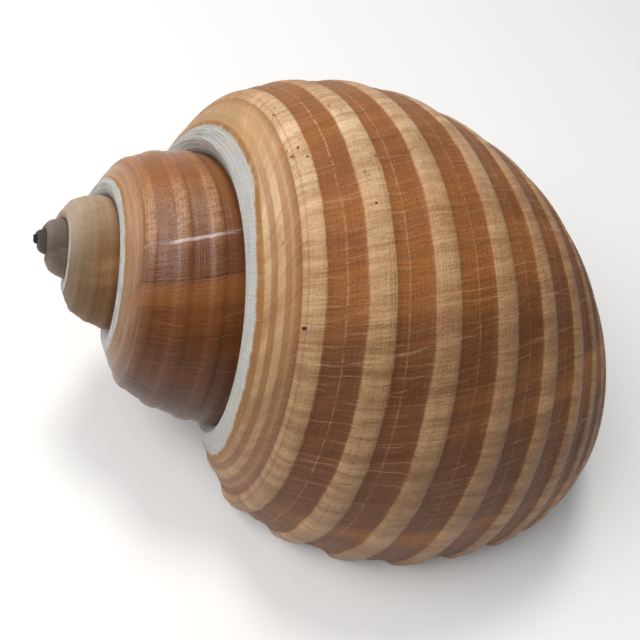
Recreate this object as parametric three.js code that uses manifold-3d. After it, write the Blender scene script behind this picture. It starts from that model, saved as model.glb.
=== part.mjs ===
// A large tun shell resting on its aperture: one thin, inflated, right-handed coil with broad
// flat spiral ribs, a raised band along the suture, a short pointed spire and a wide opening.
// Millimetres, Z up. The coiling axis runs along X, apex to the left, and the origin is on the
// ground below the middle of the shell.
import * as THREE from "three";
import Module from "manifold-3d";

const wasm = await Module();
wasm.setup();

const bodyRadius = 54.1; // radius of the body whorl where the growth count is zero
const apexTurn = -4.4; // growth count, in whorls, at the tip of the spire
const lipTurn = 0.555; // growth count where the lip leaves the suture
const stepsPerTurn = 40;
const lipSteps = 16; // steps over which the growth lines swing to the slant of the lip
const wall = 2.3; // thickness of the shell wall
const glaze = 1.1; // enamel laid over the previous whorl inside the opening, ribs and all
const channelDepth = 0.05; // depth of the groove beside the suture, per unit of radius
const hollowTurns = 1.2; // how far the open hollow runs back into the shell
const hollowStepsPerTurn = 26;
const pillarTopRadius = 7.6; // central pillar inside the opening, where it leaves the coil
const pillarEndRadius = 4.6;
const dip = 14.44; // degrees the axis slopes down from the apex to the base
const roll = 128; // degrees the shell is turned about its axis to lie on the opening

// Half section of a whorl in units of its radius: distance from the axis, then distance along
// it from the suture. The points are 0.3 apart along the curve, with one beyond each end.
const sectionPitch = 0.3;
const section = [
  [0.327, -0.162],
  [0.576, 0],
  [0.826, 0.162],
  [0.954, 0.436],
  [1.005, 0.73],
  [0.975, 1.029],
  [0.886, 1.319],
  [0.711, 1.56],
  [0.469, 1.734],
  [0.199, 1.857],
  [-0.071, 1.997],
];
const sectionEnd = 2.4;

// Spiral ribs: middle along the section, half width of the flat top, height, all per radius.
const ribs = [
  [0.1, 0.01, 0.004],
  [0.16, 0.012, 0.006],
  [0.288, 0.034, 0.013],
  [0.517, 0.038, 0.013],
  [0.748, 0.038, 0.013],
  [0.992, 0.038, 0.013],
  [1.21, 0.032, 0.013],
  [1.392, 0.025, 0.012],
  [1.53, 0.02, 0.012],
  [1.66, 0.017, 0.011],
  [1.79, 0.015, 0.01],
  [1.93, 0.014, 0.009],
  [2.08, 0.014, 0.008],
];
const ribSlope = 0.016;

// 0 below low, 1 above high and an even S curve between.
function smooth(x, low, high) {
  const t = Math.min(Math.max((x - low) / (high - low), 0), 1);
  return t * t * (3 - 2 * t);
}

// Radius of the whorl at a growth count: each whorl is nearly twice the one before.
function radiusAt(n) {
  return bodyRadius * Math.exp(0.622 * n - 0.055 * n * n - 0.003 * n ** 3);
}

// Distance of the suture from the apex, along the axis.
function sutureAt(n) {
  return 33 * Math.exp(0.879 * n + 0.027 * n * n) - 0.8;
}

// Smooth curve through the section points, as [distance out, distance along].
function sectionAt(u) {
  const cell = Math.min(Math.max(Math.floor(u / sectionPitch), 0), section.length - 4);
  const t = u / sectionPitch - cell;
  return [0, 1].map((axis) => {
    const [a, b, c, d] = section.slice(cell, cell + 4).map((p) => p[axis]);
    const bend = 2 * a - 5 * b + 4 * c - d;
    const twist = 3 * b - a - 3 * c + d;
    return 0.5 * (2 * b + (c - a) * t + bend * t * t + twist * t * t * t);
  });
}

// Height of the ribs above the smooth whorl. They fade out toward the spire and a little on the
// early body whorl, and toward the lip they stand taller while the ground between them sinks.
function reliefAt(n, u) {
  const late = Math.min(Math.max(n / 0.5, 0), 1);
  const fade = 0.35 + 0.65 * smooth(n, -2.6, -0.9) - 0.25 * smooth(n, -0.5, 0.1) + 0.85 * late ** 2;
  const sink = 0.006 * late * Math.min(Math.max((u - 0.1) / 0.2, 0), 1);
  let height = 0;
  for (const [middle, half, top] of ribs) {
    const away = Math.abs(u - middle) - half;
    height = Math.max(height, top * Math.min(Math.max(1 - away / ribSlope, 0), 1));
  }
  return height * fade - sink;
}

// Point of the section moved out by a distance per radius: [distance out, distance along].
function sectionOut(u, out) {
  const [r, z] = sectionAt(u);
  const [ra, za] = sectionAt(Math.min(u + 0.01, sectionEnd + 0.29));
  const [rb, zb] = sectionAt(Math.max(u - 0.01, -0.29));
  const long = Math.hypot(ra - rb, za - zb);
  return [r + (out * (za - zb)) / long, z - (out * (ra - rb)) / long];
}

// Point of the whorl in shell space, from growth count and section point.
function place(n, r, z) {
  const angle = 2 * Math.PI * n;
  const R = radiusAt(n);
  return [R * r * Math.cos(angle), R * r * Math.sin(angle), sutureAt(n) + R * z];
}

// Section position where the whorl before is touched by the floor of the suture groove.
function floorAt(n) {
  const level = sutureAt(n) + channelDepth * radiusAt(n);
  let low = 0.6;
  let high = 1.6;
  for (let i = 0; i < 30; i++) {
    const u = (low + high) / 2;
    if (sutureAt(n - 1) + radiusAt(n - 1) * sectionAt(u)[1] < level) low = u;
    else high = u;
  }
  return low;
}

// How far the growth lines fall behind the suture, in whorls, across the section.
function slantAt(u) {
  const notch = Math.min(Math.max((u - 2.0) / 0.4, 0), 1);
  return -0.045 * smooth(u, 0.08, 0.32) - 0.055 * Math.max(u - 0.2, 0) - 0.05 * notch * notch;
}

// Section positions that one row of corners needs: every rib foot and shoulder on the body
// whorl, the same ribs down to the next suture on the one before, a few points on the spire.
function columnsFor(turnsBack) {
  if (turnsBack > 2.6) return [0, 0.25, 0.6];
  if (turnsBack > 2.02) return [0, 0.12, 0.3, 0.5, 0.75];
  const last = turnsBack > 1.001 ? 0.9 : sectionEnd;
  const list = [0, 0.03, 0.065];
  for (const [middle, half] of ribs) {
    const corners = [-half - ribSlope, -half, half, half + ribSlope];
    for (const c of half < 0.015 && middle < 0.2 ? [corners[0], 0, corners[3]] : corners)
      if (middle + c < last) list.push(middle + c);
  }
  if (last === sectionEnd) list.push(2.2, 2.3, sectionEnd);
  return list;
}

// Growth count of one corner: rows near the lip swing back along the slant of the growth lines.
function leanedTurn(n, u) {
  const swing = Math.max(1 - ((lipTurn - n) * stepsPerTurn) / lipSteps, 0);
  return n + slantAt(u) * swing;
}

// Faces that fill a closed outline given as corners and their half-section positions.
function fillOutline(corners, flat) {
  const contour = flat.map(([r, z]) => new THREE.Vector2(r, z));
  return THREE.ShapeUtils.triangulateShape(contour, []).map((f) => f.map((k) => corners[k]));
}

function bodyFrom(points, faces) {
  const mesh = new wasm.Mesh({
    numProp: 3,
    vertProperties: new Float32Array(points.flat()),
    triVerts: new Uint32Array(faces.flat()),
  });
  return new wasm.Manifold(mesh);
}

// Where the pillar ends on the axis: a little short of the end of the lip.
function axisEnd() {
  const n = lipTurn + slantAt(sectionEnd);
  return sutureAt(n) + radiusAt(n) * sectionAt(sectionEnd)[1] - 2;
}

// The outside as one filled body, before it is hollowed. Rows of corners run along the growth
// of the shell, and each row starts on the corner of the whorl before that it is grown onto.
function filledBody() {
  const points = [];
  const faces = [];
  const put = (p) => points.push(p) - 1;
  // Band of faces between two rows of [corner, position].
  const stitch = (a, b) => {
    let i = 0;
    let j = 0;
    while (i < a.length - 1 || j < b.length - 1) {
      const useA = j === b.length - 1 || (i < a.length - 1 && a[i + 1][1] <= b[j + 1][1]);
      const third = useA ? a[i + 1][0] : b[j + 1][0];
      const face = [a[i][0], b[j][0], third];
      if (new Set(face).size === 3) faces.push(face);
      if (useA) i++;
      else j++;
    }
  };

  const total = Math.floor((lipTurn - apexTurn) * stepsPerTurn);
  const tip = put([0, 0, sutureAt(apexTurn) - 0.3]);
  const pole = put([0, 0, axisEnd() + 1]);
  const rows = [];
  for (let i = 0; i <= total; i++) {
    const back = (total - i) / stepsPerTurn;
    const n = lipTurn - back;
    const before = rows[i - stepsPerTurn];
    const row = [[before ? before.seam : tip, -0.1]];
    if (before) row.push([put(place(n, 0.546, 0.022)), -0.05]);
    const seamU = back > 0.999 ? floorAt(n + 1) : 9;
    const full = i >= total - stepsPerTurn;
    const list = columnsFor(back).filter((u) => Math.abs(u - seamU) > 0.012);
    if (seamU < 9) list.push(seamU);
    list.sort((p, q) => p - q);
    let seam = -1;
    for (const u of list) {
      if (!full && u > seamU) continue;
      const collar = u > 0.02 && u < 0.05 ? 0.005 : 0;
      const [r, z] = sectionOut(u, u === seamU ? 0 : reliefAt(n, u) + collar);
      const corner = put(place(leanedTurn(n, u), r, z));
      if (u === seamU) seam = corner;
      row.push([corner, u]);
    }
    if (full) {
      // The base draws in to the central pillar in a long hollow curve.
      const m = leanedTurn(n, sectionEnd);
      const [r, z] = sectionAt(sectionEnd).map((v) => v * radiusAt(m));
      const rest = axisEnd() - sutureAt(m) - z;
      for (const onward of [0.1, 0.35, 0.65, 0.96]) {
        const thin = pillarAt(sutureAt(m) + z + rest * onward) + 0.8;
        const out = thin + (r - thin) * (1 - onward) ** 2.4;
        row.push([put(place(m, out / radiusAt(m), (z + rest * onward) / radiusAt(m))), 2.4 + onward / 4]);
      }
      row.push([pole, 2.7]);
    }
    const seamPlace = row.findIndex(([corner]) => corner === seam);
    rows.push({ row, seam, seamPlace, shown: row.slice(0, seamPlace + 1) });
  }
  for (let i = 0; i < total; i++) {
    const open = i >= total - stepsPerTurn;
    if (open) stitch(rows[i].row, rows[i + 1].row);
    else stitch(rows[i].shown, rows[i + 1].shown);
  }
  const first = rows[0].shown;
  for (let k = 1; k < first.length - 1; k++) faces.push([tip, first[k][0], first[k + 1][0]]);

  // The cut across the opening, from the lip in to the whorl before and the axis.
  const under = rows[total - stepsPerTurn];
  const ring = rows[total].row.map(([corner]) => corner);
  ring.push(...under.row.slice(under.seamPlace + 1, -1).map(([corner]) => corner).reverse());
  const flat = ring.map((k) => [Math.hypot(points[k][0], points[k][1]), points[k][2]]);
  faces.push(...fillOutline(ring, flat).map((f) => f.reverse()));
  return bodyFrom(points, faces);
}

// Radius of the central pillar at a distance along the axis.
function pillarAt(z) {
  const top = sutureAt(lipTurn - 1) + radiusAt(lipTurn - 1) * 1.8;
  const t = Math.min(Math.max((z - top) / (axisEnd() - top), 0), 1);
  return pillarTopRadius + (pillarEndRadius - pillarTopRadius) * t;
}

// Outline of the hollow at a growth count, in millimetres from and along the axis: down the
// inner face of the wall, back up the pillar and over the whorl before.
function hollowOutline(n) {
  const R = radiusAt(n);
  const P = radiusAt(n - 1);
  const outline = [];
  for (const u of [0.03, 0.14, 0.35, 0.6, 0.85, 1.1, 1.35, 1.6, 1.85, 2.1, 2.33]) {
    const [r, z] = sectionOut(u, -wall / R);
    outline.push([R * r, sutureAt(n) + R * z]);
  }
  const [lastR, lastZ] = outline.at(-1);
  outline.push([pillarAt(lastZ), lastZ + 0.5]);
  const floorZ = sutureAt(n - 1) + P * 1.9;
  outline.push([pillarAt((floorZ + lastZ) / 2), (floorZ + lastZ) / 2]);
  outline.push([pillarAt(floorZ), floorZ]);
  const startU = floorAt(n) + (wall * 1.1) / P;
  for (const t of [1, 0.83, 0.67, 0.5, 0.33, 0.17, 0]) {
    const u = startU + (2.25 - startU) * t;
    const [r, z] = sectionOut(u, glaze / P);
    outline.push([P * r, sutureAt(n - 1) + P * z]);
  }
  return outline;
}

// The hollow: a tube swept back from beyond the lip, closing to a point deep in the shell.
function hollowBody() {
  const points = [];
  const faces = [];
  const steps = Math.round((hollowTurns + 0.05) * hollowStepsPerTurn);
  const rings = [];
  for (let i = 0; i <= steps; i++) {
    const n = lipTurn + 0.05 - i / hollowStepsPerTurn;
    const outline = hollowOutline(n);
    const angle = 2 * Math.PI * n;
    rings.push(
      outline.map(([r, z]) => points.push([r * Math.cos(angle), r * Math.sin(angle), z]) - 1),
    );
    if (i === 0) faces.push(...fillOutline(rings[0], outline).map((f) => f.reverse()));
  }
  const n = lipTurn + 0.05 - (steps + 1) / hollowStepsPerTurn;
  const angle = 2 * Math.PI * n;
  const r = 0.7 * radiusAt(n);
  const end = points.push([r * Math.cos(angle), r * Math.sin(angle), sutureAt(n) + r]) - 1;
  const count = rings[0].length;
  for (let k = 0; k < count; k++) {
    const l = (k + 1) % count;
    for (let i = 0; i < steps; i++) {
      faces.push([rings[i][k], rings[i][l], rings[i + 1][k]]);
      faces.push([rings[i][l], rings[i + 1][l], rings[i + 1][k]]);
    }
    faces.push([rings[steps][k], rings[steps][l], end]);
  }
  return bodyFrom(points, faces);
}

const carved = filledBody().subtract(hollowBody()).simplify(0.02);
const bodies = carved.decompose().sort((a, b) => b.volume() - a.volume());

// From shell space to the resting pose: the axis lies along X with the apex to the left and
// higher, and the shell is rolled onto its opening.
const made = bodies[0].getMesh();
const shell = new THREE.BufferGeometry();
const corners = Float32Array.from({ length: made.numVert * 3 }, (_, k) => {
  return made.vertProperties[Math.floor(k / 3) * made.numProp + (k % 3)];
});
shell.setAttribute("position", new THREE.BufferAttribute(corners, 3));
shell.setIndex(new THREE.BufferAttribute(made.triVerts, 1));
shell.rotateZ(THREE.MathUtils.degToRad(roll));
shell.rotateY(THREE.MathUtils.degToRad(90 + dip));
shell.computeBoundingBox();
const box = shell.boundingBox;
const middle = box.getCenter(new THREE.Vector3());
shell.translate(-middle.x, -middle.y, -box.min.z);

const mesh = new THREE.Mesh(
  shell,
  new THREE.MeshStandardMaterial({ color: 0xa97a55, roughness: 0.42, metalness: 0 }),
);
mesh.name = "tun_shell";
const root = new THREE.Group();
root.name = "tun_shell_part";
root.add(mesh);
export default root;
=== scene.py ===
"""Looks of the tun shell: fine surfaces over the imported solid, with procedural shell colours,
a pale stand-in floor, soft light and the camera of the photograph."""

import math

import bpy
import numpy as np
from mathutils import Matrix, Vector


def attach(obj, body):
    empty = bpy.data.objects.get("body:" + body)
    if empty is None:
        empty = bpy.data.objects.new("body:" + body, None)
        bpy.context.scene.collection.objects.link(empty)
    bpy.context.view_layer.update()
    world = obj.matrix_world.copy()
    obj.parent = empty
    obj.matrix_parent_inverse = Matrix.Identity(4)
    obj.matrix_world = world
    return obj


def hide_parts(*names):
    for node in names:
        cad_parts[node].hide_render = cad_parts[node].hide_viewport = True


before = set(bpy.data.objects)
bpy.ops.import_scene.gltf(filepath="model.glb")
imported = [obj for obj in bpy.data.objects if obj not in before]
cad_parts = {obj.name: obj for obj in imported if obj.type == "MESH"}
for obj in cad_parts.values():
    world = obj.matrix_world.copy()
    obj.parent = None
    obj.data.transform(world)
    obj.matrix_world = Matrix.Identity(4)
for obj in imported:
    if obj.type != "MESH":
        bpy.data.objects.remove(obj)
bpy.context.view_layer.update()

# The growth of the shell
# Distances are in metres. n counts whorls of growth, from TIP to LIP, and u runs along the half
# section of a whorl, from the suture to the base, in units of the whorl's radius. A rib is its
# place along the section, half its width and its height; threads are hair-thin ribs. The wall's
# inner face stops at WALL_END, and the outside draws in from SECTION_END to ON_AXIS.
LIP = 0.555
TIP = -4.4
SECTION_END = 2.4
WALL_END = 2.33
ON_AXIS = 2.7
SECTION = np.array([
    (0.327, -0.162), (0.576, 0.0), (0.826, 0.162), (0.954, 0.436), (1.005, 0.73), (0.975, 1.029),
    (0.886, 1.319), (0.711, 1.56), (0.469, 1.734), (0.199, 1.857), (-0.071, 1.997),
])
RIBS = [
    (0.1, 0.01, 0.004), (0.16, 0.012, 0.006), (0.288, 0.034, 0.013), (0.517, 0.038, 0.013),
    (0.748, 0.038, 0.013), (0.992, 0.038, 0.013), (1.21, 0.032, 0.013), (1.392, 0.025, 0.012),
    (1.53, 0.02, 0.012), (1.66, 0.017, 0.011), (1.79, 0.015, 0.01), (1.93, 0.014, 0.009),
    (2.08, 0.014, 0.008),
]
THREADS = (0.4, 0.61, 0.87, 1.1, 1.305, 1.455)
WALL = 0.0023
GLAZE = 0.0011


def radius(n):
    """Radius of the whorl: each is nearly twice the one before."""
    return 0.0541 * np.exp(0.622 * n - 0.055 * n * n - 0.003 * n ** 3)


def suture(n):
    """Distance of the suture from the apex, along the axis."""
    return 0.033 * np.exp(0.879 * n + 0.027 * n * n) - 0.0008


def smooth(x, low, high):
    """0 below low, 1 above high and an even S curve between."""
    t = np.clip((x - low) / (high - low), 0, 1)
    return t * t * (3 - 2 * t)


def section(u):
    """Smooth curve through the section points, which are 0.3 apart."""
    cell = np.clip(np.floor(u / 0.3).astype(int), 0, len(SECTION) - 4)
    t = (u / 0.3 - cell)[..., None]
    a, b, c, d = (SECTION[cell + k] for k in range(4))
    bend = 2 * a - 5 * b + 4 * c - d
    twist = 3 * b - a - 3 * c + d
    return 0.5 * (2 * b + (c - a) * t + bend * t * t + twist * t ** 3)


def section_out(u, out):
    """Section point moved out square to the curve, by a share of the radius."""
    p = section(u)
    run = section(np.minimum(u + 0.01, 2.69)) - section(np.maximum(u - 0.01, -0.29))
    run /= np.linalg.norm(run, axis=-1, keepdims=True)
    return p + out[..., None] * np.stack([run[..., 1], -run[..., 0]], -1)


def relief(n, u):
    """Height of the flat-topped ribs, with eased edges, and of the hair-thin threads that run
    between them. Ribs are lower on the early whorls, and toward the lip they stand taller
    while the ground between them sinks."""
    late = np.clip(n / 0.5, 0, 1)
    fade = 0.35 + 0.65 * smooth(n, -2.6, -0.9) - 0.25 * smooth(n, -0.5, 0.1) + 0.85 * late ** 2
    sink = 0.006 * late * np.clip((u - 0.1) / 0.2, 0, 1)
    height = 0 * u
    for middle, half, top in RIBS:
        away = np.abs(u - middle) - half
        height = np.maximum(height, top * (1 - smooth(away, -0.018, 0.03)))
    for middle in THREADS:
        height = np.maximum(height, 0.0014 * (1 - smooth(np.abs(u - middle), 0, 0.014)))
    return height * fade - sink


def slant(u):
    """How far the growth lines fall behind the suture, in whorls."""
    notch = np.clip((u - 2.0) / 0.4, 0, 1)
    return -0.045 * smooth(u, 0.08, 0.32) - 0.055 * np.maximum(u - 0.2, 0) - 0.05 * notch ** 2


def swing(n):
    """How much of the slant a row of points takes, from none to all of it at the lip."""
    return np.clip(1 - (LIP - n) * 2.5, 0, 1)


def groove_floor(n):
    """Section position on the whorl before where the groove at the suture has its floor."""
    level = suture(n) + 0.05 * radius(n)
    low, high = 0.6 + 0 * n, 1.6 + 0 * n
    for _ in range(30):
        mid = (low + high) / 2
        under = suture(n - 1) + radius(n - 1) * section(mid)[..., 1] < level
        low, high = np.where(under, mid, low), np.where(under, high, mid)
    return low


def turned(n, r, z):
    """Shell-space point at growth count n, r out from the axis and z along it."""
    angle = 2 * math.pi * n
    return np.stack([r * np.cos(angle), r * np.sin(angle), z], -1)


# The pillar on the axis
# It is one with the shell. It thins from PILLAR_TOP to its end, 2 mm short of the base of the
# lip, whose growth count is BASE_TURN.
BASE_TURN = LIP + slant(np.float64(SECTION_END))
AXIS_END = suture(BASE_TURN) + radius(BASE_TURN) * section(np.float64(SECTION_END))[1] - 0.002
PILLAR_TOP = suture(LIP - 1) + 1.8 * radius(LIP - 1)


def pillar(z):
    """Radius of the central pillar, from 7.6 mm down to 4.6 mm at its end."""
    return 0.0076 - 0.003 * np.clip((z - PILLAR_TOP) / (AXIS_END - PILLAR_TOP), 0, 1)


# From shell space to the resting pose
# The axis lies along X with the apex to the left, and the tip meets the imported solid's tip.
DIP = math.radians(14.44)
ROLL = math.radians(128)
turn = np.array(Matrix.Rotation(math.pi / 2 + DIP, 3, "Y") @ Matrix.Rotation(ROLL, 3, "Z"))
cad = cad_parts["tun_shell"].data
solid = np.empty(len(cad.vertices) * 3)
cad.vertices.foreach_get("co", solid)
solid = solid.reshape(-1, 3)
tip_local = np.array([0, 0, suture(TIP) - 0.0003])
shift = solid[solid[:, 0].argmin()] - turn @ tip_local


def piece(name, grids, material):
    """One mesh object from grids of points with their (u, growth, inside, painted shade) values.
    """
    points, faces, facts = [], [], []
    base = 0
    for grid, fact in grids:
        rows, columns = grid.shape[:2]
        index = base + np.arange(rows * columns).reshape(rows, columns)
        quads = [index[:-1, :-1], index[1:, :-1], index[1:, 1:], index[:-1, 1:]]
        faces.append(np.stack(quads, -1).reshape(-1, 4))
        points.append(grid.reshape(-1, 3))
        facts.append(np.broadcast_to(fact, grid.shape[:2] + (4,)).reshape(-1, 4))
        base += rows * columns
    points = np.concatenate(points) @ turn.T + shift
    faces = np.concatenate(faces)
    facts = np.concatenate(facts)
    mesh = bpy.data.meshes.new(name)
    mesh.vertices.add(len(points))
    mesh.vertices.foreach_set("co", points.ravel())
    mesh.loops.add(faces.size)
    mesh.loops.foreach_set("vertex_index", faces.ravel().astype(np.int32))
    mesh.polygons.add(len(faces))
    mesh.polygons.foreach_set("loop_start", np.arange(0, faces.size, 4, dtype=np.int32))
    mesh.update(calc_edges=True)
    for k, key in enumerate(("along", "growth", "inside", "painted_shade")):
        layer = mesh.attributes.new(key, "FLOAT", "POINT")
        layer.data.foreach_set("value", facts[:, k].astype(np.float32))
    mesh.validate()
    mesh.shade_smooth()
    mesh.materials.append(material)
    made = bpy.data.objects.new(name, mesh)
    bpy.context.scene.collection.objects.link(made)
    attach(made, "root")
    return made


def outside(n, u):
    """Outside of the whorls at growth counts n and section positions u. Positions below zero
    run down the inner wall of the suture groove to its floor on the whorl before, and those
    past the section's end draw in to the pillar in a hollow curve and round off on the axis."""
    n, u = np.broadcast_arrays(n, u)
    on = np.clip(u, 0, SECTION_END)
    m = n + slant(on) * swing(n)
    collar = 0.005 * smooth(u, 0.0, 0.03) * (1 - smooth(u, 0.05, 0.085))
    rz = section_out(on, relief(m, on) + collar)
    r = radius(m) * rz[..., 0]
    z = suture(m) + radius(m) * rz[..., 1]
    # The groove falls over a rounded crest to the whorl before.
    floor_u = groove_floor(n)
    floor = section(floor_u)
    depth = np.clip(-u / 0.1, 0, 1)
    r += (radius(n - 1) * (floor[..., 0] - 0.004) - r) * smooth(depth, 0, 1) ** 0.8
    z += (suture(n - 1) + radius(n - 1) * floor[..., 1] - z) * depth ** 1.3
    # The base draws in to the pillar.
    onward = np.clip((u - SECTION_END) / 0.25, 0, 1)
    z += (AXIS_END - z) * onward
    thin = pillar(z) + 0.0008
    r = np.where(onward > 0, thin + (r - thin) * (1 - onward) ** 2.4, r)
    cap = np.clip((u - 2.65) / 0.05, 0, 1)
    r *= np.sqrt(1 - cap ** 2)
    z += 0.001 * cap
    # Painted shade lies in the groove, and on the whorl before where it meets the next one.
    meets = groove_floor(n + 1)
    painted_shade = smooth(depth, 0.2, 0.9) + smooth(u, meets - 0.1, meets + 0.01) * (n < LIP - 1)
    fact = np.stack([u, m - slant(on), 0 * u, painted_shade], -1)
    return turned(m, r, z), fact


def wall_inside(n, u):
    """Inner face of the wall, square in from the outside, with the ribs showing as grooves."""
    R = radius(n)
    r, z = np.moveaxis(section_out(u, 0.45 * relief(n, u) - WALL / R), -1, 0)
    return R * r, suture(n) + R * z


def hollow(n, s):
    """Inside of the shell at growth counts n and positions s round the hollow: 0 to 1 along
    the inner face of the wall, 1 to 2 down on to the pillar and back along it, 2 to 3 over
    the glazed whorl before, and 3 to 4 round the corner to the wall again."""
    n, s = np.broadcast_arrays(n, s)
    on = 0.03 + (WALL_END - 0.03) * np.clip(s, 0, 1)
    lean = slant(on) * (1 - smooth(s, 1.0, 2.0))
    m = n + lean * swing(n)
    r, z = wall_inside(m, on)
    # Down to the pillar and along it.
    end_r, end_z = wall_inside(m, 0 * on + WALL_END)
    P = radius(m - 1)
    floor_z = suture(m - 1) + 1.9 * P
    top = np.moveaxis(section_out(0 * on + 2.25, GLAZE / P), -1, 0)
    top_r, top_z = P * top[0], suture(m - 1) + P * top[1]
    t = np.clip(s - 1, 0, 1)
    across, back = smooth(t, 0, 0.45), smooth(t, 0.1, 0.85)
    lift = smooth(t, 0.72, 1)
    pz = end_z + 0.0005 * across + (floor_z - end_z) * back
    pr = end_r + (pillar(pz) - end_r) * across
    pr, pz = pr + (top_r - pr) * lift, pz + (top_z - pz) * lift
    r, z = np.where(s > 1, pr, r), np.where(s > 1, pz, z)
    # Over the whorl before, up to the corner at the suture.
    start_u = groove_floor(m) + 1.1 * WALL / P
    over = 2.25 + (start_u - 2.25) * np.clip(s - 2, 0, 1)
    rz = section_out(over, GLAZE / P + 0.3 * relief(m - 1, over) * (over > start_u + 0.05))
    r, z = np.where(s > 2, P * rz[..., 0], r), np.where(s > 2, suture(m - 1) + P * rz[..., 1], z)
    # Round the corner under the suture.
    first_r, first_z = wall_inside(m, 0 * on + 0.03)
    round_up = smooth(s, 3, 4)
    r, z = r + (first_r - r) * round_up, z + (first_z - z) * np.clip(s - 3, 0, 1)
    fact = np.stack([np.where(s > 1, 2.4 + 0 * s, on), m - slant(on), 1 + 0 * s, 0 * s], -1)
    return m, r, z, fact


# Colours at stated growth counts: the brown ground, the light bands on the ribs, the orange
# zones and the beige beside the suture of the whorl before the last. Pits are growth count,
# section position and size.
BROWN = [
    (-4.6, (38, 34, 32)), (-3.95, (66, 60, 54)), (-3.6, (80, 72, 66)), (-2.85, (120, 108, 100)),
    (-2.65, (84, 74, 64)), (-2.3, (152, 128, 106)), (-1.85, (172, 144, 116)),
    (-1.68, (122, 86, 50)), (-1.5, (112, 78, 44)),
    (-1.15, (136, 84, 42)), (-0.8, (142, 88, 46)), (-0.69, (100, 52, 20)), (-0.6, (94, 50, 20)),
    (-0.5, (74, 44, 26)), (-0.1, (140, 90, 48)), (0.1, (154, 104, 60)), (0.2, (144, 90, 50)),
    (0.27, (132, 80, 40)), (0.36, (104, 62, 34)), (0.6, (118, 78, 52)),
]
LIGHT = [
    (-4.6, (40, 36, 34)), (-3.95, (70, 64, 58)), (-3.6, (86, 78, 72)), (-2.85, (126, 116, 108)),
    (-2.65, (90, 78, 68)), (-2.3, (160, 138, 116)), (-1.85, (178, 154, 128)),
    (-1.68, (126, 92, 56)), (-1.5, (118, 84, 50)),
    (-1.15, (146, 98, 58)), (-0.84, (160, 108, 66)), (-0.69, (114, 68, 36)), (-0.6, (108, 66, 34)),
    (-0.5, (94, 62, 42)), (-0.1, (164, 124, 84)), (0.04, (172, 136, 94)),
    (0.11, (206, 170, 128)), (0.19, (218, 186, 148)), (0.27, (188, 152, 112)),
    (0.36, (166, 130, 92)), (0.6, (178, 146, 116)),
]
ORANGE = [
    (-4.6, (60, 52, 46)), (-2.8, (104, 94, 84)), (-2.2, (164, 132, 102)), (-1.2, (146, 90, 42)),
    (-0.84, (142, 86, 42)), (-0.6, (108, 60, 24)), (-0.45, (90, 52, 26)), (-0.1, (150, 92, 40)),
    (0.6, (150, 92, 40)),
]
BEIGE = [(-1.4, (176, 146, 116)), (-0.8, (178, 142, 106)), (-0.4, (128, 98, 74))]
PITS = [
    (0.157, 0.268, 0.009), (0.15, 0.29, 0.006), (0.207, 0.261, 0.008), (0.33, 0.261, 0.013),
    (0.26, 0.516, 0.007), (-0.808, 0.261, 0.01), (-0.775, 0.235, 0.007), (-1.8, 0.33, 0.012),
    (-1.745, 0.29, 0.009),
]

# Shell material
# Every mark is placed by u, the growth count and fine noise. The base is two ramps over the
# growth count, one for the light bands on the ribs and one for the brown between them.
material = bpy.data.materials.new("shell")
material.use_nodes = True
tree = material.node_tree
surface = tree.nodes["Principled BSDF"]


def feed(socket, value):
    """Link a socket, or set a plain value."""
    if isinstance(value, bpy.types.NodeSocket):
        tree.links.new(value, socket)
    else:
        socket.default_value = value


def calc(how, a, b=0.0):
    """Math node."""
    made = tree.nodes.new("ShaderNodeMath")
    made.operation = how
    feed(made.inputs[0], a)
    feed(made.inputs[1], b)
    return made.outputs[0]


def times(a, b):
    """Product of two values."""
    return calc("MULTIPLY", a, b)


def plus(a, b):
    """Sum of two values."""
    return calc("ADD", a, b)


def ease(x, low, high, first=0.0, last=1.0, how="SMOOTHSTEP"):
    """From first at low to last at high, held beyond them."""
    made = tree.nodes.new("ShaderNodeMapRange")
    made.interpolation_type = how
    for place, value in enumerate((x, low, high, first, last)):
        feed(made.inputs[place], value)
    return made.outputs[0]


def near(x, middle, half, soft):
    """1 within half of the middle and 0 beyond a soft edge."""
    return ease(calc("ABSOLUTE", calc("SUBTRACT", x, middle)), half, half + soft, 1.0, 0.0)


def value_of(name):
    """Value laid on the mesh."""
    made = tree.nodes.new("ShaderNodeAttribute")
    made.attribute_name = name
    return made.outputs["Fac"]


def grain(x, y, place=0.0, detail=2.0, rough=0.5):
    """Noise between 0 and 1 over stretched coordinates."""
    joined = tree.nodes.new("ShaderNodeCombineXYZ")
    for slot, value in enumerate((x, y, place)):
        feed(joined.inputs[slot], value)
    made = tree.nodes.new("ShaderNodeTexNoise")
    made.inputs["Scale"].default_value = 1.0
    made.inputs["Detail"].default_value = detail
    made.inputs["Roughness"].default_value = rough
    tree.links.new(joined.outputs[0], made.inputs["Vector"])
    return made.outputs["Fac"]


def rules(count, place, wide):
    """Hair lines along the growth lines, count to a whorl, each with its own place and
    strength and its own breaks."""
    x = plus(times(g, count), times(grain(times(g, 9), times(along, 1.3), place, 1.0), 2.5))
    row = calc("FLOOR", x)
    own = tree.nodes.new("ShaderNodeTexWhiteNoise")
    own.noise_dimensions = "1D"
    feed(own.inputs["W"], plus(row, place))
    own = own.outputs["Value"]
    off = calc("SUBTRACT", calc("SUBTRACT", x, row), plus(times(own, 0.4), 0.3))
    line = ease(calc("ABSOLUTE", off), 0.0, wide, 1.0, 0.0)
    breaks = ease(grain(times(row, 3.7), times(along, 6), place, 3.0), 0.42, 0.6)
    return times(times(line, breaks), plus(times(own, 0.7), 0.3))


def shade(red, green, blue):
    """Screen colour out of 255 as the scene's linear colour."""
    return tuple(((c / 255 + 0.055) / 1.055) ** 2.4 for c in (red, green, blue)) + (1.0,)


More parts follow.
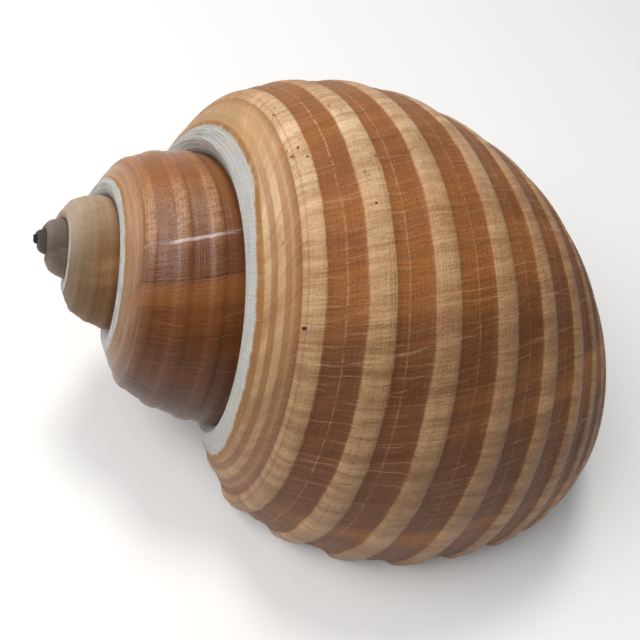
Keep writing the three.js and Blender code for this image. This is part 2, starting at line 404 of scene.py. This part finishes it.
def blend(amount, a, b, how="MIX"):
    """Colour b over colour a."""
    made = tree.nodes.new("ShaderNodeMix")
    made.data_type = "RGBA"
    made.blend_type = how
    feed(made.inputs[0], amount)
    feed(made.inputs[6], a)
    feed(made.inputs[7], b)
    return made.outputs[2]


def ramp(x, stops):
    """Colours at stated values of x, with straight mixes between."""
    made = tree.nodes.new("ShaderNodeValToRGB")
    low, high = stops[0][0], stops[-1][0]
    colours = made.color_ramp.elements
    while len(colours) < len(stops):
        colours.new(0.5)
    for element, (at, colour) in zip(colours, stops):
        element.position = (at - low) / (high - low)
        element.color = shade(*colour)
    feed(made.inputs[0], ease(x, low, high, how="LINEAR"))
    return made.outputs[0]


# The fourth value laid on the mesh is the painted shade of the groove and the whorl seam.
along, growth, inner, painted_shade = (value_of(k) for k in ("along", "growth", "inside", "painted_shade"))
# The growth lines swing back a little nearer the suture than the lip does, and kick back and
# forth from rib to rib. The edges of the bands wander.
kick = grain(times(growth, 4), times(along, 9), 21.0, 1.0)
sooner = times(calc("SUBTRACT", ease(along, 0.05, 0.25), ease(along, 0.08, 0.32)), 0.045)
g = plus(plus(growth, sooner), times(calc("SUBTRACT", kick, 0.5), 0.0028))
wander = grain(times(g, 30), times(along, 6), 0.0, 3.0, 0.6)
u = plus(along, times(calc("SUBTRACT", wander, 0.5), ease(along, 0.2, 0.4, 0.004, 0.018)))
# Marks are calmer beside the suture and on the glossy early whorls.
calm = times(ease(along, 0.12, 0.32, 0.35, 1.0), ease(growth, -0.42, -0.15, 0.55, 1.0))
# Fine lines, broad steps and zones follow the growth lines; hairs follow the ribs; patches,
# blotches and grit are mottling from coarse to fine.
lines = grain(times(g, 520), times(along, 7), 0.0, 3.0, 0.65)
steps = grain(times(g, 130), times(along, 2.2), 3.0, 2.0, 0.55)
zones = grain(times(g, 19), times(along, 0.7), 7.0, 2.0, 0.5)
hairs = grain(times(g, 14), times(along, 190), 5.0, 2.0, 0.6)
patches = grain(times(g, 34), times(along, 5), 17.0, 3.0, 0.6)
blotch = grain(times(g, 260), times(along, 14), 23.0, 4.0, 0.7)
grit = grain(times(g, 560), times(along, 85), 19.0, 2.0, 0.6)

# Brown ground and light bands over the whorls
# The bands are broken by steps and blotches. A fine riblet runs before the first broad rib and a
# brown thread along it.
brown = ramp(growth, BROWN)
light = ramp(growth, LIGHT)
rib = 0.0
for middle, half, _ in RIBS:
    spread = 0.004 if half > 0.02 else 0.0
    rib = calc("MAXIMUM", rib, near(u, middle, half + spread, 0.011 if half > 0.013 else 0.008))
rib = times(rib, ease(plus(times(steps, 0.5), times(blotch, 0.5)), 0.38, 0.58, 0.66, 1.0))
for middle in THREADS:
    thread = near(u, middle, 0.0005, 0.005)
    rib = calc("MAXIMUM", rib, times(thread, ease(blotch, 0.4, 0.58, 0.08, 0.45)))
rib = calc("MAXIMUM", rib, times(near(u, 0.207, 0.002, 0.008), 0.35))
rib = times(rib, calc("SUBTRACT", 1.0, times(near(u, 0.27, 0.001, 0.006), 0.35)))
# Orange zones cross the ground. The bands fade toward the base and in patches, and past the first
# broad rib where the last whorl is older they are dulled toward the brown, partly a lower contrast
# of the shell and partly painted shade.
brown = blend(ease(zones, 0.48, 0.66, 0.0, 0.55), brown, ramp(growth, ORANGE))
light = blend(ease(along, 0.3, 1.0, 0.0, 0.5), light, blend(0.5, light, brown))
dull_and_shade = times(ease(along, 0.35, 0.5, 0.0, 0.8), ease(growth, 0.08, 0.18, 1.0, 0.0))
light = blend(dull_and_shade, light, blend(0.6, light, brown))
light = blend(ease(patches, 0.44, 0.64, 0.0, 0.6), light, blend(0.6, light, brown))
body = blend(rib, brown, light)
# Beside the suture the ground is paler: ochre on the last whorl, beige with brown lines on the
# one before, chalky on the third.
shoulder = times(ease(along, 0.2, 0.26, 0.7, 0.0), near(growth, -0.04, 0.16, 0.09))
body = blend(shoulder, body, shade(192, 152, 104))
soften = times(ease(along, 0.2, 0.26, 0.4, 0.0), ease(growth, -0.2, 0.0))
body = blend(soften, body, light)
beige = times(ease(along, 0.17, 0.25, 0.6, 0.0), near(growth, -0.84, 0.38, 0.12))
beige = times(beige, ease(hairs, 0.36, 0.56, 0.3, 1.0))
body = blend(beige, body, ramp(growth, BEIGE))
paler = times(ease(along, 0.25, 0.7, 0.6, 0.0), near(growth, -1.95, 0.3, 0.4))
chalky = blend(ease(growth, -1.85, -1.6), shade(164, 148, 132), shade(112, 96, 80))
body = blend(paler, body, chalky)

# Growth lines, zones and fine spiral hairs shade the ground
tone = 1.0
for mark, low, high, amount in (
    (lines, 0.32, 0.68, 0.08), (steps, 0.35, 0.65, 0.08), (zones, 0.36, 0.64, 0.1),
    (hairs, 0.32, 0.68, 0.05), (patches, 0.32, 0.68, 0.08), (grit, 0.3, 0.7, 0.09),
):
    tone = plus(tone, times(ease(mark, low, high, -amount, amount), calm))
joined = tree.nodes.new("ShaderNodeCombineColor")
for slot, warmth in enumerate((0.8, 1.0, 1.25)):
    feed(joined.inputs[slot], calc("POWER", tone, warmth))
body = blend(1.0, body, joined.outputs[0], "MULTIPLY")

# Thin pale and dark growth lines, broken along their length
fresh = times(ease(growth, -1.4, -0.4, 0.25, 1.0), calm)
for count, place, wide, colour, amount in (
    (170, 31.0, 0.15, (222, 184, 148), 0.17), (48, 37.0, 0.045, (226, 190, 158), 0.22),
    (110, 41.0, 0.13, (84, 50, 30), 0.24), (210, 43.0, 0.22, (96, 58, 36), 0.16),
):
    body = blend(times(rules(count, place, wide), times(fresh, amount)), body, shade(*colour))

# The white band along the suture and its ochre edge
ragged = grain(times(g, 70), times(along, 9), 11.0, 3.0, 0.6)
edge_u = plus(along, times(calc("SUBTRACT", ragged, 0.5), 0.022))
width = plus(times(near(growth, 0.07, 0.08, 0.08), 0.032), ease(growth, 0.36, 0.52, 0.053, 0.09))
beyond = calc("SUBTRACT", edge_u, width)
band = ease(beyond, -0.006, 0.006, 1.0, 0.0)
late = ease(growth, -1.3, -0.9)
ochre = times(near(beyond, 0.012, 0.006, 0.014), times(late, ease(ragged, 0.3, 0.6, 0.4, 0.9)))
body = blend(ochre, body, blend(late, shade(128, 90, 54), shade(146, 100, 48)))
streaks = grain(times(g, 20), times(along, 120), 13.0, 2.0)
grey = times(ease(streaks, 0.42, 0.62), ease(growth, 0.02, 0.16, 1.0, 0.3))
chalk = blend(grey, shade(180, 179, 176), shade(142, 139, 134))
chalk = blend(ease(patches, 0.45, 0.7, 0.0, 0.35), chalk, shade(186, 172, 148))
body = blend(times(band, ease(growth, -2.1, -1.5)), body, chalk)

# Scars that follow the growth lines on the whorl before the last, and small dark pits
clear = ease(along, 0.1, 0.13)
scar = times(near(g, -0.666, 0.0002, 0.0014), clear)
body = blend(times(near(g, -0.65, 0.006, 0.016), times(clear, 0.5)), body, shade(140, 84, 34))
body = blend(times(scar, ease(patches, 0.35, 0.55, 0.3, 0.85)), body, shade(52, 30, 22))
# Painted highlight in pale gold on the ribs where the whorl is glossiest, and a healed streak
# beside them.
painted_highlight = times(near(growth, -0.755, 0.02, 0.05), near(along, 0.55, 0.25, 0.2))
painted_highlight = times(times(painted_highlight, rib), ease(plus(times(hairs, 0.6), times(blotch, 0.4)), 0.4, 0.62))
body = blend(times(painted_highlight, 0.4), body, shade(232, 186, 132))
healed = times(near(g, -0.711, 0.0004, 0.003), ease(along, 0.2, 0.26))
body = blend(times(healed, ease(steps, 0.4, 0.55, 0.0, 0.7)), body, shade(206, 186, 184))
# Single pits, stretched along the section, and specks scattered on the first two broad ribs.
pits = 0.0
for at, where, size in PITS:
    across = times(calc("SUBTRACT", g, at), 9)
    off = calc("SUBTRACT", along, where)
    far = calc("SQRT", plus(times(across, across), times(off, off)))
    far = plus(far, times(calc("SUBTRACT", ragged, 0.5), 0.008))
    pits = calc("MAXIMUM", pits, ease(far, size * 0.6, size, 1.0, 0.0))
cell = tree.nodes.new("ShaderNodeTexVoronoi")
cell.inputs["Scale"].default_value = 1.0
joined = tree.nodes.new("ShaderNodeCombineXYZ")
feed(joined.inputs[0], times(growth, 150))
feed(joined.inputs[1], times(along, 36))
tree.links.new(joined.outputs[0], cell.inputs["Vector"])
speck = times(ease(cell.outputs["Distance"], 0.12, 0.24, 1.0, 0.0), ease(patches, 0.53, 0.6))
speck = times(speck, times(near(growth, 0.19, 0.05, 0.08), near(along, 0.38, 0.1, 0.25)))
pits = calc("MAXIMUM", pits, times(speck, rib))
body = blend(times(pits, 0.95), body, shade(26, 18, 13))

# Painted shade in the groove and where the whorls meet, and the glazed inside: cream with a warm
# brown stain deeper in
body = blend(times(painted_shade, 0.8), body, shade(62, 40, 28))
stain = ease(growth, 0.2, 0.5, 0.75, 0.0)
cream = blend(stain, shade(222, 200, 172), shade(176, 124, 84))
cream = blend(times(rib, 0.25), cream, shade(240, 226, 206))
body = blend(calc("MAXIMUM", inner, ease(along, 2.4, 2.5)), body, cream)

# Gloss, and fine relief from the same lines, hairs, grit and pits
feed(surface.inputs["Base Color"], body)
gloss = near(growth, -0.76, 0.07, 0.08)
feed(surface.inputs["Specular IOR Level"], plus(times(gloss, 0.35), 0.2))
rough = plus(ease(growth, -1.4, -0.9, 0.5, 0.27), ease(growth, -0.4, -0.05, 0.0, 0.2))
rough = plus(plus(rough, ease(lines, 0.3, 0.7, -0.05, 0.05)), times(band, 0.2))
feed(surface.inputs["Roughness"], blend(inner, rough, (0.25, 0.25, 0.25, 1.0)))
bump = tree.nodes.new("ShaderNodeBump")
bump.inputs["Strength"].default_value = 0.9
bump.inputs["Distance"].default_value = 0.00034
height = plus(plus(lines, times(steps, 1.2)), plus(times(hairs, 0.7), times(grit, 0.8)))
height = plus(times(height, ease(growth, -0.45, -0.1, 0.3, 1.0)), times(pits, -1.5))
feed(bump.inputs["Height"], times(height, ease(inner, 0.0, 1.0, 1.0, 0.1)))
tree.links.new(bump.outputs[0], surface.inputs["Normal"])

# Outside of the last whorl
# The wall that the snail laid down last, of hard shell, with every rib down to the base. Where
# it starts, its hollow base sinks on to the pillar over a fiftieth of a turn.
END = LIP - 0.002
START = LIP - 1
groove = np.linspace(-0.1, 0, 12)[:-1]
wide = np.concatenate([
    groove, np.linspace(0, SECTION_END, 222)[:-1], np.linspace(SECTION_END, ON_AXIS, 34),
])
body_rows = outside(np.linspace(START, END, 331)[:, None], wide[None, :])
sinking = np.linspace(START - 0.02, START, 7)[:, None]
skirt, skirt_fact = outside(sinking, np.linspace(2.2, ON_AXIS, 50)[None, :])
reach = np.hypot(skirt[..., 0], skirt[..., 1])
drop = 0.0014 * (1 - smooth(sinking, START - 0.02, START))
skirt[..., :2] *= (np.clip(reach - drop, 0, None) / np.clip(reach, 1e-6, None))[..., None]
shell_body = piece("shell_body", [body_rows, (skirt, skirt_fact)], material)
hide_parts("tun_shell")

# Outside of the spire
# The earlier whorls are of the same shell and fused at the suture, so only their upper part
# shows. A small dome closes the tip.
upper = np.concatenate([groove, np.linspace(0, 1.3, 110)])
spire_rows = outside(np.linspace(TIP - 0.5, START, 760)[:, None], upper[None, :])
ring, ring_fact = outside(np.array([[TIP - 0.5]]), upper[None, :])
rise = np.linspace(0, math.pi / 2, 6)[:, None, None]
peak = ring.mean(axis=1, keepdims=True)
crown = peak + (ring - peak) * np.sin(rise) - np.array([0, 0, 0.0001]) * np.cos(rise)
piece("shell_spire", [spire_rows, (crown, ring_fact)], material)

# Inside of the shell
# The smooth glaze inside the wall and over the whorl before, where it thins out to nothing just
# ahead of the lip. The hollow runs 1.2 whorls back, where a dome closes it out of sight.
DEEP = LIP - 1.2
round_hollow = np.concatenate([
    np.linspace(0, 1, 170)[:-1], np.linspace(1, 2, 50)[:-1], np.linspace(2, 3, 90)[:-1],
    np.linspace(3, 4, 14),
])


def inner_surface(n, s):
    """Points of the hollow at growth counts n and positions s, with their facts."""
    m, r, z, fact = hollow(n, s)
    return turned(m, r, z), fact


def glaze_edge():
    """Edge of the glaze on the whorl before, over 0.014 of a whorl ahead of the lip. It swells
    from nothing beside the groove, and thins out ahead and toward the base."""
    ahead = np.linspace(0, 1, 8)[:, None]
    n = END + 0.014 * ahead
    before = radius(n - 1)
    low = groove_floor(n)
    full = low + 1.1 * WALL / before
    u = low + (SECTION_END - low) * np.linspace(0, 1, 140)[None, :]
    thick = GLAZE / before * np.clip((u - low) / (full - low), 0, 1) * (1 - ahead) ** 0.7
    thick *= 1 - smooth(u, 2.25, SECTION_END)
    share = np.where(u > full + 0.05, 0.3 + 0.7 * ahead, ahead)
    out = thick - 0.0003 / before * ahead + share * relief(n - 1, u)
    r, z = np.moveaxis(section_out(u, out), -1, 0)
    fact = np.stack(np.broadcast_arrays(u, n - 1, 1 - ahead, 0 * u), -1)
    return turned(n, before * r, suture(n - 1) + before * z), fact


inside_rows = inner_surface(np.linspace(END, DEEP, 290)[:, None], round_hollow[None, :])
last = inside_rows[0][-1:]
heart = last.mean(axis=1, keepdims=True)
bend = np.linspace(0, math.pi / 2, 7)[:, None, None]
back = np.array([math.sin(2 * math.pi * DEEP), -math.cos(2 * math.pi * DEEP), 0])
dome = heart + (last - heart) * np.cos(bend) + 0.008 * back * np.sin(bend)
piece("shell_lining", [inside_rows, (dome, inside_rows[1][-1:]), glaze_edge()], material)

# The lip
# The growing edge of the wall: a rounded rim joins the outside and the inside, from the floor
# of the suture groove round to the pillar, and bulges forward by under half the thickness.
lip_u = np.concatenate([
    np.linspace(-0.1, 0.03, 16)[:-1], np.linspace(0.03, WALL_END, 300)[:-1],
    np.linspace(WALL_END, ON_AXIS, 40),
])
lip_s = np.concatenate([
    np.linspace(3, 4, 16)[:-1], np.linspace(0, 1, 300)[:-1], np.linspace(1, 1.45, 40),
])
outer, outer_fact = outside(np.array([[END]]), lip_u[None, :])
inner_edge, inner_fact = inner_surface(np.array([[END]]), lip_s[None, :])
across_rim = np.linspace(0, 1, 9)[:, None, None]
rim = outer + (inner_edge - outer) * across_rim
out = np.clip(np.hypot(rim[..., 0], rim[..., 1]), 0.004, None)
forward = np.stack([-rim[..., 1], rim[..., 0], 0 * out], -1) / out[..., None]
rim = rim + 0.001 * np.sin(math.pi * across_rim) * forward
rim_fact = outer_fact + (inner_fact - outer_fact) * across_rim
piece("shell_lip", [(rim, rim_fact)], material)

# The pillar
# A smooth post of the same shell that the whorls wind round, rounded off at its lower end. It
# shows inside the mouth and below the base.
turns = np.linspace(0, 1, 49)[:, None]
down = np.linspace(0, 1, 30)[None, :]
pillar_z = PILLAR_TOP - 0.006 + (AXIS_END - PILLAR_TOP + 0.007) * down
pillar_r = (pillar(pillar_z) - 0.00005) * np.sqrt(1 - np.clip((down - 0.96) / 0.04, 0, 1) ** 2)
post = turned(turns, pillar_r, pillar_z + 0 * turns)
piece("shell_pillar", [(post, np.array([2.5, 0.5, 1.0, 0.0]))], material)

# Floor
# A plain pale sheet, only to stand on.
bpy.ops.mesh.primitive_plane_add(size=6)
floor = bpy.context.object
floor.name = "floor"
paper = bpy.data.materials.new("floor_paper")
paper.use_nodes = True
paper.node_tree.nodes["Principled BSDF"].inputs["Base Color"].default_value = (0.9, 0.9, 0.9, 1)
floor.data.materials.append(paper)

# Camera
# The axes of the picture in shell space come from the shell's lean: its axis points left, a
# little up and 26.7 degrees towards the camera. EYE is where the camera is from the tip, in
# picture axes, counted in pixels of the photograph, and PIXEL is the size of one at the tip.
EYE = (287.7, -83.0, 850.0)
PIXEL = 0.000236
lean, tilt = math.radians(9.78), math.radians(26.68)
axis = np.array([
    math.cos(tilt) * math.cos(lean), -math.cos(tilt) * math.sin(lean), -math.sin(tilt),
])
first = np.array([math.sin(lean), math.cos(lean), 0])
to_picture = np.stack([first, np.cross(axis, first), axis], 1)
picture = turn @ to_picture.T
eye = turn @ (to_picture.T @ (np.array(EYE) * PIXEL)) + shift
camera = bpy.data.objects.new("camera", bpy.data.cameras.new("camera"))
bpy.context.scene.collection.objects.link(camera)
camera.data.sensor_width = 36
camera.data.lens = 47.81
camera.data.clip_start = 0.01
placed = Matrix([list(row) for row in picture]).to_4x4()
placed.translation = Vector(eye)
camera.matrix_world = placed
bpy.context.scene.camera = camera


def lamp(name, direction, distance, size, power, colour):
    """Area light in a direction given in picture axes, aimed at the shell."""
    aim = Vector((0, 0, 0.045))
    way = Vector(picture @ np.array(direction)).normalized()
    light = bpy.data.lights.new(name, "AREA")
    light.shape = "DISK"
    light.size = size
    light.energy = power
    light.color = colour
    made = bpy.data.objects.new(name, light)
    made.location = aim + way * distance
    made.rotation_euler = way.to_track_quat("Z", "Y").to_euler()
    bpy.context.scene.collection.objects.link(made)


# Light
# A large soft lamp from the upper left of the picture, a small one above for gloss on the ribs,
# and a pale room.
lamp("key", (-0.45, 0.35, 0.82), 0.9, 0.7, 6.0, (1.0, 1.0, 1.0))
lamp("gloss", (0.04, 0.82, 0.55), 0.9, 0.24, 2.8, (1.0, 0.97, 0.92))
world = bpy.data.worlds.new("room")
bpy.context.scene.world = world
world.use_nodes = True
world.node_tree.nodes["Background"].inputs["Color"].default_value = (1, 1, 1, 1)
world.node_tree.nodes["Background"].inputs["Strength"].default_value = 0.36

bpy.context.scene.view_settings.view_transform = "Standard"
